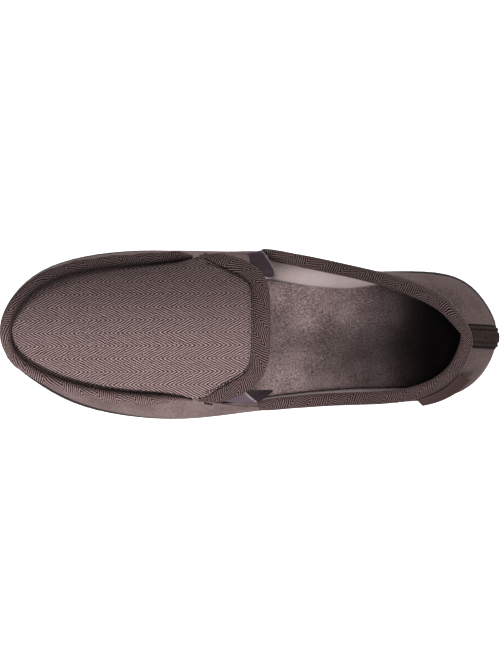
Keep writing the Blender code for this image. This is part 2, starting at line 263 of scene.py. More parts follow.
sole_across = section_curve("sole_medial", "sole_lateral")
top_inset = section_curve("top_medial", "top_lateral")
top_height = section_curve("height", "height")
shoulder_inset = section_curve("shoulder_medial", "shoulder_lateral")
shoulder_share = section_curve("shoulder_share", "shoulder_share")
swell_inset = section_curve("swell_medial", "swell_lateral")


def smooth_step(value):
    share = min(max(value, 0.0), 1.0)
    return share * share * (3.0 - 2.0 * share)


@functools.lru_cache(maxsize=None)
def outline_frame(turn):
    """Point of the sole's edge in plan at a turn, and the inward direction there."""
    def edge(angle):
        return Vector((-half_length * math.cos(math.radians(angle)), sole_across(angle) + across_shift))

    along = (edge(turn + 0.25) - edge(turn - 0.25)).normalized()
    return edge(turn), Vector((along.y, -along.x))


def outline_point(turn, inset):
    edge, inward = outline_frame(turn)
    return edge + inward * inset


def sole_top(x):
    spring = 5.0 * max(0.0, (-80.0 - x) / 65.0) ** 2
    return spring + 9.0 + 4.5 * smooth_step((x + 60.0) / 120.0)


@functools.lru_cache(maxsize=None)
def wall_section(turn):
    """Outer face of the wall on one section: distances down from its top, with inset and height there."""
    seat = sole_top(outline_point(turn, feather_inset).x) + seat_gap
    top = top_height(turn)
    corners = np.array((
        (top_inset(turn), top),
        (shoulder_inset(turn), seat + shoulder_share(turn) * (top - seat)),
        (swell_inset(turn), seat + 0.15 * (top - seat)),
        (feather_inset, seat),
    ))
    share = np.linspace(0.0, 1.0, 81)
    rest = 1.0 - share
    weights = np.stack((rest**3, 3.0 * rest**2 * share, 3.0 * rest * share**2, share**3), axis=1)
    curve = weights @ corners
    lengths = np.linalg.norm(np.diff(curve, axis=0), axis=1)
    return np.concatenate(((0.0,), np.cumsum(lengths))), curve


def from_toe(turn):
    return min(turn % 360.0, 360.0 - turn % 360.0)


def roll_share(turn):
    """One along the toe roll, falling to nothing at the two notches."""
    fade = 6.0 if turn % 360.0 < 180.0 else 12.0
    return smooth_step((notch_turn - from_toe(turn)) / fade)


def wall_point(turn, down, out):
    """Point on the wall a distance down from its top line and out from its face."""
    lengths, curve = wall_section(turn)

    def on_curve(distance):
        return np.array([np.interp(distance, lengths, values) for values in curve.T])

    place = min(max(down, 0.0), lengths[-1])
    downward = on_curve(min(place + 0.5, lengths[-1])) - on_curve(max(place - 0.5, 0.0))
    downward = downward / np.linalg.norm(downward)
    outward = np.array((downward[1], -downward[0]))
    inset, height = on_curve(place) + (down - place) * downward + out * outward
    plan = outline_point(turn, inset)
    return Vector((plan.x, plan.y, height))


def wall_length(turn):
    return wall_section(turn)[0][-1]


perimeter_turns = np.linspace(0.0, 360.0, 721)
perimeter_plan = np.array([outline_point(turn, 4.0) for turn in perimeter_turns])
perimeter_steps = np.linalg.norm(np.diff(perimeter_plan, axis=0), axis=1)
perimeter_lengths = np.concatenate(((0.0,), np.cumsum(perimeter_steps)))


def along_wall(turn):
    """Distance round the shoe from the toe tip to a turn."""
    return float(np.interp(turn, perimeter_turns, perimeter_lengths))


def plug_height(x, y):
    """Height of the plug's outer face above the floor."""
    ridge = 74.5 + 0.244 * x - 0.0001 * x * x
    fall = 15.0 + 0.04 * x
    return ridge - fall * (abs(y - 0.5) / 40.0) ** 2.2


def plug_normal(x, y):
    step = 0.2
    slope_x = (plug_height(x + step, y) - plug_height(x - step, y)) / (2.0 * step)
    slope_y = (plug_height(x, y + step) - plug_height(x, y - step)) / (2.0 * step)
    return Vector((-slope_x, -slope_y, 1.0)).normalized()


@functools.lru_cache(maxsize=None)
def seam_pair(turn):
    return wall_point(-turn, 0.0, 0.0), wall_point(turn, 0.0, 0.0)


def plug_rib_point(turn, column):
    """Point on the rib between the two seam points at one turn, from lateral (-1) to medial (1)."""
    lateral, medial = seam_pair(turn)
    place = lateral.lerp(medial, 0.5 + 0.5 * column)
    near = medial if column > 0.0 else lateral
    from_seam = (near.xy - place.xy).length
    sink = max(0.0, 1.0 - from_seam / 4.0) ** 2
    groove = 6.0 * roll_share(turn) * max(0.0, 1.0 - from_seam / 8.0) ** 2
    height = plug_height(place.x, place.y) + sink * (near.z - plug_height(near.x, near.y)) - groove
    return Vector((place.x, place.y, height))


def throat_edge(column):
    """Point in plan on the plug's free rear edge."""
    rib = plug_rib_point(notch_turn, column)
    squareness = 5.8 if column > 0.0 else 4.5
    reach = 38.0 * (1.0 - abs(column) ** squareness) ** 0.625
    return Vector((rib.x + reach, rib.y))


throat_columns = np.sin(np.linspace(-0.5 * math.pi, 0.5 * math.pi, 801)) * 0.9995
throat_plan = np.array([throat_edge(column) for column in throat_columns])
throat_lengths = np.concatenate(((0.0,), np.cumsum(np.linalg.norm(np.diff(throat_plan, axis=0), axis=1))))


def throat_leg(from_end):
    """Width of the throat binding's leg, narrow at a notch and full at the rear."""
    return 3.0 + 3.8 * smooth_step(from_end / 26.0)


def throat_point(column, inward, out):
    """Point a distance inward from the plug's free edge, over the plug, and out from its face."""
    step = 0.002
    along = (throat_edge(min(column + step, 1.0)) - throat_edge(max(column - step, -1.0))).normalized()
    place = throat_edge(column) + Vector((-along.y, along.x)) * inward
    base = Vector((place.x, place.y, plug_height(place.x, place.y)))
    return base + plug_normal(place.x, place.y) * out


# Outsole: one moulding of dark matt rubber with a lip round its top. It keeps its solid and gets a rubber
# with a fine grain.
rubber, rubber_tree, rubber_shader = new_material("sole_rubber_look", 0.75, 0.0)
rubber_place = add_node(rubber_tree, "ShaderNodeTexCoord", {}).outputs["Object"]
rubber_grain = add_node(
    rubber_tree, "ShaderNodeTexNoise", {"Vector": rubber_place, "Scale": 900.0, "Detail": 3.0},
)
rubber_cloud = add_node(
    rubber_tree, "ShaderNodeTexNoise", {"Vector": rubber_place, "Scale": 55.0, "Detail": 5.0},
)
rubber_colour = add_node(
    rubber_tree, "ShaderNodeMixRGB",
    {
        "Fac": rubber_cloud.outputs["Fac"],
        "Color1": (0.024, 0.021, 0.020, 1.0),
        "Color2": (0.060, 0.053, 0.050, 1.0),
    },
)
rubber_tree.links.new(rubber_colour.outputs["Color"], rubber_shader.inputs["Base Color"])
rubber_bump = add_node(
    rubber_tree, "ShaderNodeBump",
    {"Height": rubber_grain.outputs["Fac"], "Strength": 0.4, "Distance": 0.0004},
)
rubber_tree.links.new(rubber_bump.outputs["Normal"], rubber_shader.inputs["Normal"])
frame["nodes"]["outsole"].material_slots[0].material = rubber

# Insole: a padded sock covered in short brown velour, a little dished, that fills the floor of the shoe.
# Its pile is heathered, with lighter tips.
velour, velour_tree, velour_shader = new_material("insole_velour_look", 1.0, 0.04)
velour_place = add_node(velour_tree, "ShaderNodeTexCoord", {}).outputs["Object"]
velour_pile = add_node(
    velour_tree, "ShaderNodeTexNoise",
    {"Vector": velour_place, "Scale": 1150.0, "Detail": 6.0, "Roughness": 0.7},
)
velour_patch = add_node(
    velour_tree, "ShaderNodeTexNoise", {"Vector": velour_place, "Scale": 60.0, "Detail": 5.0},
)
velour_mix = add_node(
    velour_tree, "ShaderNodeMath",
    {0: velour_patch.outputs["Fac"], 1: 0.35, 2: velour_pile.outputs["Fac"]}, operation="MULTIPLY_ADD",
)
velour_share = add_node(
    velour_tree, "ShaderNodeMapRange", {"Value": velour_mix.outputs[0], "From Min": 0.52, "From Max": 0.76},
)
velour_colour = add_node(
    velour_tree, "ShaderNodeMixRGB",
    {
        "Fac": velour_share.outputs[0],
        "Color1": (0.218, 0.150, 0.147, 1.0),
        "Color2": (0.80, 0.60, 0.594, 1.0),
    },
)
velour_bump = add_node(
    velour_tree, "ShaderNodeBump", {"Height": velour_share.outputs[0], "Strength": 0.8, "Distance": 0.0012},
)
# Painted light and shade: the colour is lightest at the front of the insole, falls by about half towards the
# waist, then to near black in the heel, where shade falls under the collar.
velour_front_painted_light = shaded(velour_tree, velour_colour.outputs["Color"], "X", 0.010, 0.055, 0.53)
velour_heel_painted_shade = shaded(velour_tree, velour_front_painted_light, "X", 0.045, 0.106, 0.012)
velour_tree.links.new(velour_heel_painted_shade, velour_shader.inputs["Base Color"])
velour_tree.links.new(velour_bump.outputs["Normal"], velour_shader.inputs["Normal"])
insole_inset = 7.6
insole_top = 5.2
insole_thickness = 4.2


def insole_point(along, across):
    turn = 180.0 * along
    column = 2.0 * across - 1.0
    lateral = outline_point(-turn, insole_inset)
    medial = outline_point(turn, insole_inset)
    plan = lateral.lerp(medial, across)
    dish = 0.8 * (1.0 - column**4)
    edge = 1.6 * abs(column) ** 24
    return Vector((plan.x, plan.y, sole_top(plan.x) + seat_gap + insole_top - dish - edge))


def insole_cloth(along, across):
    place = insole_point(along, across)
    return place.x, place.y


insole_pad = finish_piece(
    "insole_pad", cloth_sheet(180, 72, insole_point, insole_cloth), velour, "insole_velour", "insole",
)
thicken(insole_pad, insole_thickness, -1.0)

# Side wall and quarters: plain brushed suede cloth in taupe, from the feather edge at the sole to the top
# line, in one piece round the shoe. It is the outer ply of the upper.
suede, suede_tree, suede_shader = new_material("wall_suede_look", 0.95, 0.25)
suede_place = add_node(suede_tree, "ShaderNodeTexCoord", {}).outputs["Object"]
suede_nap = add_node(
    suede_tree, "ShaderNodeTexNoise", {"Vector": suede_place, "Scale": 700.0, "Detail": 3.0},
)
suede_cloud = add_node(
    suede_tree, "ShaderNodeTexNoise", {"Vector": suede_place, "Scale": 45.0, "Detail": 3.0},
)
suede_mix = add_node(
    suede_tree, "ShaderNodeMath",
    {0: suede_nap.outputs["Fac"], 1: suede_cloud.outputs["Fac"]}, operation="ADD",
)
suede_share = add_node(
    suede_tree, "ShaderNodeMapRange", {"Value": suede_mix.outputs[0], "From Min": 0.6, "From Max": 1.4},
)
suede_colour = add_node(
    suede_tree, "ShaderNodeMixRGB",
    {
        "Fac": suede_share.outputs[0],
        "Color1": (0.092, 0.061, 0.059, 1.0),
        "Color2": (0.265, 0.192, 0.186, 1.0),
    },
)
suede_bump = add_node(
    suede_tree, "ShaderNodeBump", {"Height": suede_share.outputs[0], "Strength": 0.35, "Distance": 0.0006},
)
# Painted shade: the colour darkens towards the heel and towards the foot of the wall near the floor.
suede_heel_painted_shade = shaded(suede_tree, suede_colour.outputs["Color"], "X", 0.035, 0.12, 0.47)
suede_foot_painted_shade = shaded(suede_tree, suede_heel_painted_shade, "Z", 0.030, 0.012, 0.6)
suede_tree.links.new(suede_foot_painted_shade, suede_shader.inputs["Base Color"])
suede_tree.links.new(suede_bump.outputs["Normal"], suede_shader.inputs["Normal"])
outer_ply = 1.2


def at_heel(turn):
    """One at the middle of the heel, where the collar binding is narrowest, and nothing along the sides."""
    start = 135.0 if turn % 360.0 < 180.0 else 150.0
    return smooth_step((from_toe(turn) - start) / (175.0 - start))


def collar_leg(turn):
    """How far the collar binding reaches down the wall."""
    return 8.0 - 2.0 * smooth_step((from_toe(turn) - 120.0) / 30.0) - 2.8 * at_heel(turn)


def wall_surface(along, across):
    turn = 360.0 * along
    down = across * wall_length(turn)
    hem = collar_leg(turn) + 0.6
    dent = 0.8 * math.exp(-((down - hem) / 1.5) ** 2) * smooth_step((from_toe(turn) - 95.0) / 6.0)
    return wall_point(turn, down, -dent)


def wall_cloth(along, across):
    turn = 360.0 * along
    return along_wall(turn), across * wall_length(turn)


side_wall = finish_piece(
    "side_wall", cloth_sheet(360, 44, wall_surface, wall_cloth), suede, "upper_cloth", "upper",
)
thicken(side_wall, outer_ply, -1.0)


# Plug: the top of the forefoot in heavy herringbone, its columns running from toe to throat. It sinks into
# the seam beside the roll and its rear edge is free.
def herringbone(name, light, dark, bias, pitch, rib_range, medial_shade_share, heel_shade_share, seam_shade):
    """Herringbone cloth on the piece's flat shape, turned by the bias in degrees, with ribs at the pitch.

    Painted shade darkens its colour towards the medial side and towards the heel, by the shares given, and
    over the width next to a seam, where the cloth tucks in.
    """
    column_width = 7.6
    slant = -1.93
    material, tree, shader = new_material(name, 0.95, 0.12)
    flat = add_node(tree, "ShaderNodeUVMap", {}, uv_map="cloth").outputs["UV"]
    place = add_node(
        tree, "ShaderNodeMapping",
        {"Vector": flat, "Scale": (100.0, 100.0, 100.0), "Rotation": (0.0, 0.0, math.radians(bias))},
    ).outputs["Vector"]
    axes = add_node(tree, "ShaderNodeSeparateXYZ", {"Vector": place})
    drift = add_node(tree, "ShaderNodeTexNoise", {"Vector": place, "Scale": 0.25, "Detail": 2.0})
    across = add_node(
        tree, "ShaderNodeMath",
        {0: drift.outputs["Fac"], 1: 1.4, 2: axes.outputs["Y"]}, operation="MULTIPLY_ADD",
    )
    zigzag = add_node(tree, "ShaderNodeMath", {0: across.outputs[0], 1: column_width}, operation="PINGPONG")
    run = add_node(
        tree, "ShaderNodeMath",
        {0: zigzag.outputs[0], 1: slant, 2: axes.outputs["X"]}, operation="MULTIPLY_ADD",
    )
    phase = add_node(
        tree, "ShaderNodeMath", {0: run.outputs[0], 1: 2.0 * math.pi / pitch}, operation="MULTIPLY",
    )
    wave = add_node(tree, "ShaderNodeMath", {0: phase.outputs[0]}, operation="SINE")
    rib = add_node(
        tree, "ShaderNodeMapRange",
        {"Value": wave.outputs[0], "From Min": rib_range[0], "From Max": rib_range[1]},
    )
    fleck = add_node(tree, "ShaderNodeTexNoise", {"Vector": place, "Scale": 0.9, "Detail": 3.0})
    uneven = add_node(
        tree, "ShaderNodeMapRange",
        {"Value": fleck.outputs["Fac"], "From Min": 0.3, "From Max": 0.7, "To Min": 0.6, "To Max": 1.0},
    )
    share = add_node(
        tree, "ShaderNodeMath", {0: rib.outputs[0], 1: uneven.outputs[0]}, operation="MULTIPLY",
    )
    colour = add_node(
        tree, "ShaderNodeMixRGB",
        {"Fac": share.outputs[0], "Color1": (*dark, 1.0), "Color2": (*light, 1.0)},
    )
    bump = add_node(
        tree, "ShaderNodeBump", {"Height": rib.outputs[0], "Strength": 0.6, "Distance": 0.0005},
    )
    # Painted shade towards the medial side and towards the heel.
    turned = shaded(tree, colour.outputs["Color"], "Y", -0.012, 0.034, medial_shade_share)
    heel_shaded_colour = shaded(tree, turned, "X", 0.015, 0.06, heel_shade_share)
    cloth_colour = heel_shaded_colour
    # Painted shade over the width next to a seam.
    if seam_shade > 0.0:
        flat_axes = add_node(tree, "ShaderNodeSeparateXYZ", {"Vector": flat})
        from_seam = add_node(
            tree, "ShaderNodeMapRange",
            {
                "Value": flat_axes.outputs["Y"],
                "From Min": 0.004 * seam_shade,
                "From Max": 0.0135 * seam_shade,
                "To Min": 0.1,
            },
            interpolation_type="SMOOTHSTEP",
        )
        seam_shaded_colour = add_node(
            tree, "ShaderNodeMixRGB", {"Fac": 1.0, "Color1": heel_shaded_colour, "Color2": from_seam.outputs["Result"]},
            blend_type="MULTIPLY",
        )
        cloth_colour = seam_shaded_colour.outputs["Color"]
    tree.links.new(cloth_colour, shader.inputs["Base Color"])
    tree.links.new(bump.outputs["Normal"], shader.inputs["Normal"])
    return material


plug_tweed = herringbone(
    "plug_tweed_look", light=(0.452, 0.320, 0.314), dark=(0.031, 0.017, 0.017),
    bias=0.0, pitch=2.66, rib_range=(-0.6, 0.6), medial_shade_share=0.50, heel_shade_share=1.0, seam_shade=0.0,
)
front_share = 0.7


def plug_form(along, across):
    column = 2.0 * across - 1.0
    if along < front_share:
        return plug_rib_point(notch_turn * along / front_share, column)
    rib = plug_rib_point(notch_turn, column)
    back = rib.x + (throat_edge(column).x - rib.x) * (along - front_share) / (1.0 - front_share)
    return Vector((back, rib.y, plug_height(back, rib.y)))


def plug_surface(along, across):
    place = plug_form(along, across)
    gaps = np.linalg.norm(throat_plan - np.array(place.xy), axis=1)
    nearest = int(gaps.argmin())
    from_end = min(throat_lengths[nearest], throat_lengths[-1] - throat_lengths[nearest])
    place.z -= 0.7 * math.exp(-((gaps[nearest] - throat_leg(from_end) - 0.9) / 1.6) ** 2)
    return place


def plug_cloth(along, across):
    place = plug_form(along, across)
    return 1.04 * place.x, 1.03 * place.y


plug_mesh = cloth_sheet(170, 120, plug_surface, plug_cloth)
plug = finish_piece("plug", plug_mesh, plug_tweed, "upper_cloth", "upper")
thicken(plug, outer_ply, -1.0)

# Toe roll: a strip of the same cloth cut on the bias, folded over the top of the wall along the plug's seam.
# It gets much smaller towards the two notches.
roll_tweed = herringbone(
    "roll_tweed_look", light=(0.46, 0.310, 0.303), dark=(0.030, 0.018, 0.0175),
    bias=45.0, pitch=2.45, rib_range=(-0.35, 0.7), medial_shade_share=0.37, heel_shade_share=1.0, seam_shade=7.2,
)
roll_end_turn = 77.5
roll_half_width = 3.5
roll_height = 3.4
roll_thickness = 0.7


def roll_surface(along, across):
    turn = roll_end_turn * (2.0 * along - 1.0)
    place = along_wall(abs(turn))
    pucker = 1.0 + 0.02 * math.sin(0.85 * place) + 0.04 * math.sin(0.31 * place + 1.0)
    size = (0.2 + 0.8 * roll_share(turn)) * pucker
    angle = math.radians(-40.0 + 235.0 * across)
    down = roll_half_width * size * (0.82 - math.cos(angle))
    out = roll_height * size * math.sin(angle) - 0.2
    return wall_point(turn, down, out)


def roll_cloth(along, across):
    turn = roll_end_turn * (2.0 * along - 1.0)
    side = 1.0 if turn > 0.0 else -1.0
    return side * along_wall(abs(turn)), 16.0 * across


roll_mesh = cloth_sheet(300, 26, roll_surface, roll_cloth)
toe_roll = finish_piece("toe_roll", roll_mesh, roll_tweed, "upper_cloth", "upper")
thicken(toe_roll, roll_thickness, -1.0)

# Lining: thin pale knit on the inside of the wall and under the plug, seen through the collar. On the
# medial side it comes down in a hollow over the edge of the insole.
lining_knit, lining_tree, lining_shader = new_material("lining_knit_look", 0.95, 0.2)
lining_place = add_node(lining_tree, "ShaderNodeTexCoord", {}).outputs["Object"]
lining_cloud = add_node(
    lining_tree, "ShaderNodeTexNoise", {"Vector": lining_place, "Scale": 240.0, "Detail": 4.0},
)
lining_colour = add_node(
    lining_tree, "ShaderNodeMixRGB",
    {
        "Fac": lining_cloud.outputs["Fac"],
        "Color1": (0.71, 0.577, 0.571, 1.0),
        "Color2": (0.91, 0.762, 0.752, 1.0),
    },
)
# Painted light and shade: on the medial side the colour is lightest at the front and falls towards the
# waist, darkens along the foot where the lining meets the insole, and falls to near black in the heel; the
# lateral side is darker all along and near black in the heel.
lining_front_painted_light = shaded(lining_tree, lining_colour.outputs["Color"], "X", 0.000, 0.055, 0.44)
lining_heel_painted_shade = shaded(lining_tree, lining_front_painted_light, "X", 0.078, 0.106, 0.012)
lining_foot_painted_shade = shaded(lining_tree, lining_heel_painted_shade, "Z", 0.0205, 0.0180, 0.25)
lining_lateral_painted_shade = shaded(lining_tree, lining_colour.outputs["Color"], "Y", 0.010, -0.010, 0.54)
lining_lateral_heel_painted_shade = shaded(lining_tree, lining_lateral_painted_shade, "X", 0.078, 0.106, 0.012)
lining_axes = add_node(lining_tree, "ShaderNodeSeparateXYZ", {"Vector": lining_place})
lining_side = add_node(
    lining_tree, "ShaderNodeMapRange",
    {"Value": lining_axes.outputs["Y"], "From Min": -0.005, "From Max": 0.005},
)
lining_sided_painted_shade = add_node(
    lining_tree, "ShaderNodeMixRGB",
    {"Fac": lining_side.outputs["Result"], "Color1": lining_lateral_heel_painted_shade, "Color2": lining_foot_painted_shade},
)
lining_tree.links.new(lining_sided_painted_shade.outputs["Color"], lining_shader.inputs["Base Color"])
wall_lining_thickness = 0.9
plug_lining_thickness = 0.8


def lining_surface(along, across):
    turn = 360.0 * along
    in_notch = smooth_step((from_toe(turn) - 74.0) / 5.0) * smooth_step((96.0 - from_toe(turn)) / 4.0)
    top = 0.3 + 2.7 * in_notch
    medial_waist = 0.0
    if turn < 180.0:
        medial_waist = 4.7 * smooth_step((131.0 - turn) / 20.0)
    cove = medial_waist * smooth_step((across - 0.5) / 0.35)
    return wall_point(turn, top + across * (wall_length(turn) - top - 0.3), -1.5 - cove)


lining_mesh = cloth_sheet(300, 36, lining_surface, wall_cloth)
wall_lining = finish_piece("wall_lining", lining_mesh, lining_knit, "upper_cloth", "upper")
thicken(wall_lining, wall_lining_thickness, -1.0)


def plug_lining_surface(along, across):
    place = plug_form(0.02 + 0.975 * along, 0.01 + 0.98 * across)
    return place - 1.6 * plug_normal(place.x, place.y)


plug_lining_mesh = cloth_sheet(110, 60, plug_lining_surface, plug_cloth)
plug_lining = finish_piece("plug_lining", plug_lining_mesh, lining_knit, "upper_cloth", "upper")
thicken(plug_lining, plug_lining_thickness, -1.0)


# Bindings: bias strips of the herringbone folded over the plug's free edge and over the quarters' top edge,
# with a leg down each face and a round fold.
def fold_path(share, outer_leg, inner_leg, padding):
    """Depth from the edge and distance out from the face, along a padded strip folded over the edge."""
    outer = 2.0
    inner = -wall_thickness - padding
    middle = 0.5 * (outer + inner)
    radius = 0.5 * (outer - inner)
    length = outer_leg + inner_leg + math.pi * radius
    run = share * length
    if run < outer_leg:
        return outer_leg - run, -0.6 + (outer + 0.6) * (1.0 - (1.0 - run / outer_leg) ** 3) ** 0.6
    if run > length - inner_leg:
        left = (length - run) / inner_leg
        return inner_leg * (1.0 - left), inner + 0.7 * (1.0 - left) ** 4
    angle = (run - outer_leg) / radius
    return -radius * math.sin(angle), middle + radius * math.cos(angle)


binding_tweed = herringbone(
    "binding_tweed_look", light=(0.272, 0.179, 0.175), dark=(0.005, 0.003, 0.003),
    bias=45.0, pitch=2.55, rib_range=(-0.15, 0.66), medial_shade_share=0.75, heel_shade_share=0.72, seam_shade=0.7,
)
throat_padding = 1.3
strip_thickness = 0.7


def throat_column(along):
    return float(np.interp(along * throat_lengths[-1], throat_lengths, throat_columns))


def throat_binding_surface(along, across):
    near_end = min(along, 1.0 - along) * throat_lengths[-1]
    leg = throat_leg(near_end)
    depth, out = fold_path(across, leg, leg, throat_padding)
    shrink = 0.35 + 0.65 * smooth_step(near_end / 12.0)
    return throat_point(throat_column(along), depth * shrink, out * shrink)


def throat_binding_cloth(along, across):
    return along * throat_lengths[-1], 26.0 * across


throat_mesh = cloth_sheet(220, 40, throat_binding_surface, throat_binding_cloth)
bmesh.ops.reverse_faces(throat_mesh, faces=throat_mesh.faces)
throat_strip = finish_piece("throat_strip", throat_mesh, binding_tweed, "binding_cloth", "throat_binding")
thicken(throat_strip, strip_thickness, -1.0)

collar_inner_leg = 3.0
collar_padding = 2.9
collar_first_turn = 92.7
collar_last_turn = 267.6


def collar_turn(along):
    return collar_first_turn + (collar_last_turn - collar_first_turn) * along


def collar_section(along, across):
    turn = collar_turn(along)
    padding = collar_padding - 1.1 * at_heel(turn)
    depth, out = fold_path(across, collar_leg(turn), collar_inner_leg, padding)
    from_start = (turn - collar_first_turn) / 1.5
    from_last = (collar_last_turn - turn) / 4.0
    taper = min(0.7 + 0.3 * smooth_step(from_start), 0.72 + 0.28 * smooth_step(from_last))
    slant = 0.27 * (2.0 - out) * (1.0 - smooth_step(along / 0.08))
    return wall_point(turn + slant, depth * taper, out * taper)


def collar_surface(along, across):
    """Collar binding evened along its length, so that it runs round the tight heel without a kink."""
    spread = min(0.045, along, 1.0 - along)
    places = [collar_section(along + spread * step / 4.0, across) for step in range(-4, 5)]
    return sum(places, Vector((0.0, 0.0, 0.0))) / len(places)


collar_edge = np.array([wall_point(collar_turn(along), 0.0, 0.0) for along in np.linspace(0.0, 1.0, 401)])
collar_lengths = np.concatenate(((0.0,), np.cumsum(np.linalg.norm(np.diff(collar_edge, axis=0), axis=1))))


def collar_cloth(along, across):
    return float(np.interp(along, np.linspace(0.0, 1.0, 401), collar_lengths)), 26.0 * across


collar_mesh = cloth_sheet(360, 40, collar_surface, collar_cloth)
bmesh.ops.reverse_faces(collar_mesh, faces=collar_mesh.faces)
collar_strip = finish_piece("collar_strip", collar_mesh, binding_tweed, "binding_cloth", "collar_binding")
thicken(collar_strip, strip_thickness, -1.0)

# Gores: dark lilac elastic in each notch, from under the plug's free edge to the inside of the quarter,
# with fine ribs and a pale rolled rear edge.
elastic, elastic_tree, elastic_shader = new_material("gore_elastic_look", 0.85, 0.3)
elastic_flat = add_node(elastic_tree, "ShaderNodeUVMap", {}, uv_map="cloth").outputs["UV"]
elastic_axes = add_node(elastic_tree, "ShaderNodeSeparateXYZ", {"Vector": elastic_flat})
elastic_phase = add_node(
    elastic_tree, "ShaderNodeMath", {0: elastic_axes.outputs["X"], 1: 520.0}, operation="MULTIPLY",
)
elastic_wave = add_node(elastic_tree, "ShaderNodeMath", {0: elastic_phase.outputs[0]}, operation="SINE")
elastic_share = add_node(
    elastic_tree, "ShaderNodeMapRange", {"Value": elastic_wave.outputs[0], "From Min": -1.0},
)
elastic_colour = add_node(
    elastic_tree, "ShaderNodeMixRGB",
    {
        "Fac": elastic_share.outputs[0],
        "Color1": (0.085, 0.058, 0.072, 1.0),
        "Color2": (0.16, 0.115, 0.145, 1.0),
    },
)
elastic_bump = add_node(
    elastic_tree, "ShaderNodeBump",
    {"Height": elastic_share.outputs[0], "Strength": 0.5, "Distance": 0.0004},
)
elastic_tree.links.new(elastic_colour.outputs["Color"], elastic_shader.inputs["Base Color"])
elastic_tree.links.new(elastic_bump.outputs["Normal"], elastic_shader.inputs["Normal"])
gore_thickness = 1.0
rim_radius = 0.65


def gore_rails(side, share):
    """Plug edge, lowest point of the sag and wall edge of a gore, from the notch to its free rear edge."""
    if side > 0.0:
        plug_edge = throat_point(0.985 - 0.245 * share, -0.5, -3.2)
        wall_edge = wall_point(80.0 + 12.8 * share, 0.8 - 4.2 * share**3, -2.6 + 2.6 * share**3)
        low_x = -25.0 + 40.3 * share
        low_y = 45.0 - 11.7 * smooth_step(share / 0.6)
        return plug_edge, Vector((low_x, low_y, 50.0 - 7.0 * share)), wall_edge
    plug_edge = throat_point(-0.985 + 0.125 * share, -0.5, -3.2)
    wall_edge = wall_point(-80.0 - 12.4 * share, 0.8, -2.6)
    return plug_edge, plug_edge.lerp(wall_edge, 0.5) + Vector((-1.2 * share, 0.0, -3.0 * share)), wall_edge


def gore_surface(side, share, across):
    """Point on a gore, which sags in one curve from the plug's edge to the wall."""
    plug_edge, low, wall_edge = gore_rails(side, share)
    pull = 2.0 * low - 0.5 * (plug_edge + wall_edge)
    return (1.0 - across) ** 2 * plug_edge + 2.0 * across * (1.0 - across) * pull + across**2 * wall_edge


rim_thread, rim_tree, rim_shader = new_material("gore_rim_look", 0.9, 0.3)
rim_place = add_node(rim_tree, "ShaderNodeTexCoord", {}).outputs["Object"]
rim_twist = add_node(rim_tree, "ShaderNodeTexNoise", {"Vector": rim_place, "Scale": 1600.0, "Detail": 2.0})
rim_colour = add_node(
    rim_tree, "ShaderNodeMixRGB",
    {
        "Fac": rim_twist.outputs["Fac"],
        "Color1": (0.32, 0.255, 0.275, 1.0),
        "Color2": (0.60, 0.495, 0.53, 1.0),
    },
)
# Painted shade: the rim's colour is darker on the lateral gore than on the medial one.
rim_lateral_painted_shade = shaded(rim_tree, rim_colour.outputs["Color"], "Y", 0.01, -0.02, 0.55)
rim_tree.links.new(rim_lateral_painted_shade, rim_shader.inputs["Base Color"])
for gore_name, gore_side in (("gore_medial", 1.0), ("gore_lateral", -1.0)):
    gore_mesh = cloth_sheet(
        40, 40,
        lambda share, across, side=gore_side: gore_surface(side, share, across),
        lambda share, across: (40.0 * share, 46.0 * across),
    )
    gore_piece = finish_piece(gore_name + "_elastic", gore_mesh, elastic, "gore_elastic", gore_name)
    thicken(gore_piece, gore_thickness, 0.0)

    def rim_surface(along, around, side=gore_side):
        middle = gore_surface(side, 1.0, along)
        tangent = gore_surface(side, 1.0, along + 0.02) - gore_surface(side, 1.0, along - 0.02)
        first = tangent.cross(Vector((1.0, 0.0, 0.0))).normalized()
        second = tangent.normalized().cross(first)
        angle = 2.0 * math.pi * around
        radius = rim_radius * math.sqrt(min(1.0, 12.0 * along, 12.0 * (1.0 - along)))
        return middle + radius * (math.cos(angle) * first + math.sin(angle) * second)

    rim_mesh = cloth_sheet(60, 10, rim_surface, lambda along, around: (40.0 * along, 4.0 * around))
    bmesh.ops.remove_doubles(rim_mesh, verts=rim_mesh.verts, dist=0.001)
    bmesh.ops.recalc_face_normals(rim_mesh, faces=rim_mesh.faces)
    finish_piece(gore_name + "_rim", rim_mesh, rim_thread, "gore_elastic", gore_name)

# Gore facings: a suede wedge turned in from the wall's edge over the front of the medial gore, and an
# end of the elastic sewn back along the inside of the lateral collar, its near-black colour painted shade.
facing_thickness = 0.8


def facing_surface(along, across):
    share = 0.85 * along
    wall_edge = wall_point(79.5 + 12.2 * share, 0.1, -0.6)
    plug_edge = throat_point(0.985 - 0.2 * share, 0.5, -2.6)
    return wall_edge.lerp(plug_edge, across) + Vector((0.0, 0.0, -1.2 * math.sin(math.pi * across)))


facing_mesh = cloth_sheet(50, 16, facing_surface, lambda along, across: (30.0 * along, 8.0 * across))
gore_facing = finish_piece("gore_medial_facing", facing_mesh, suede, "upper_cloth", "upper")
thicken(gore_facing, facing_thickness, 0.0)

tail_elastic, tail_tree, tail_shader = new_material("gore_tail_look", 0.9, 0.2)
tail_place = add_node(tail_tree, "ShaderNodeTexCoord", {}).outputs["Object"]
tail_nap = add_node(tail_tree, "ShaderNodeTexNoise", {"Vector": tail_place, "Scale": 900.0, "Detail": 3.0})
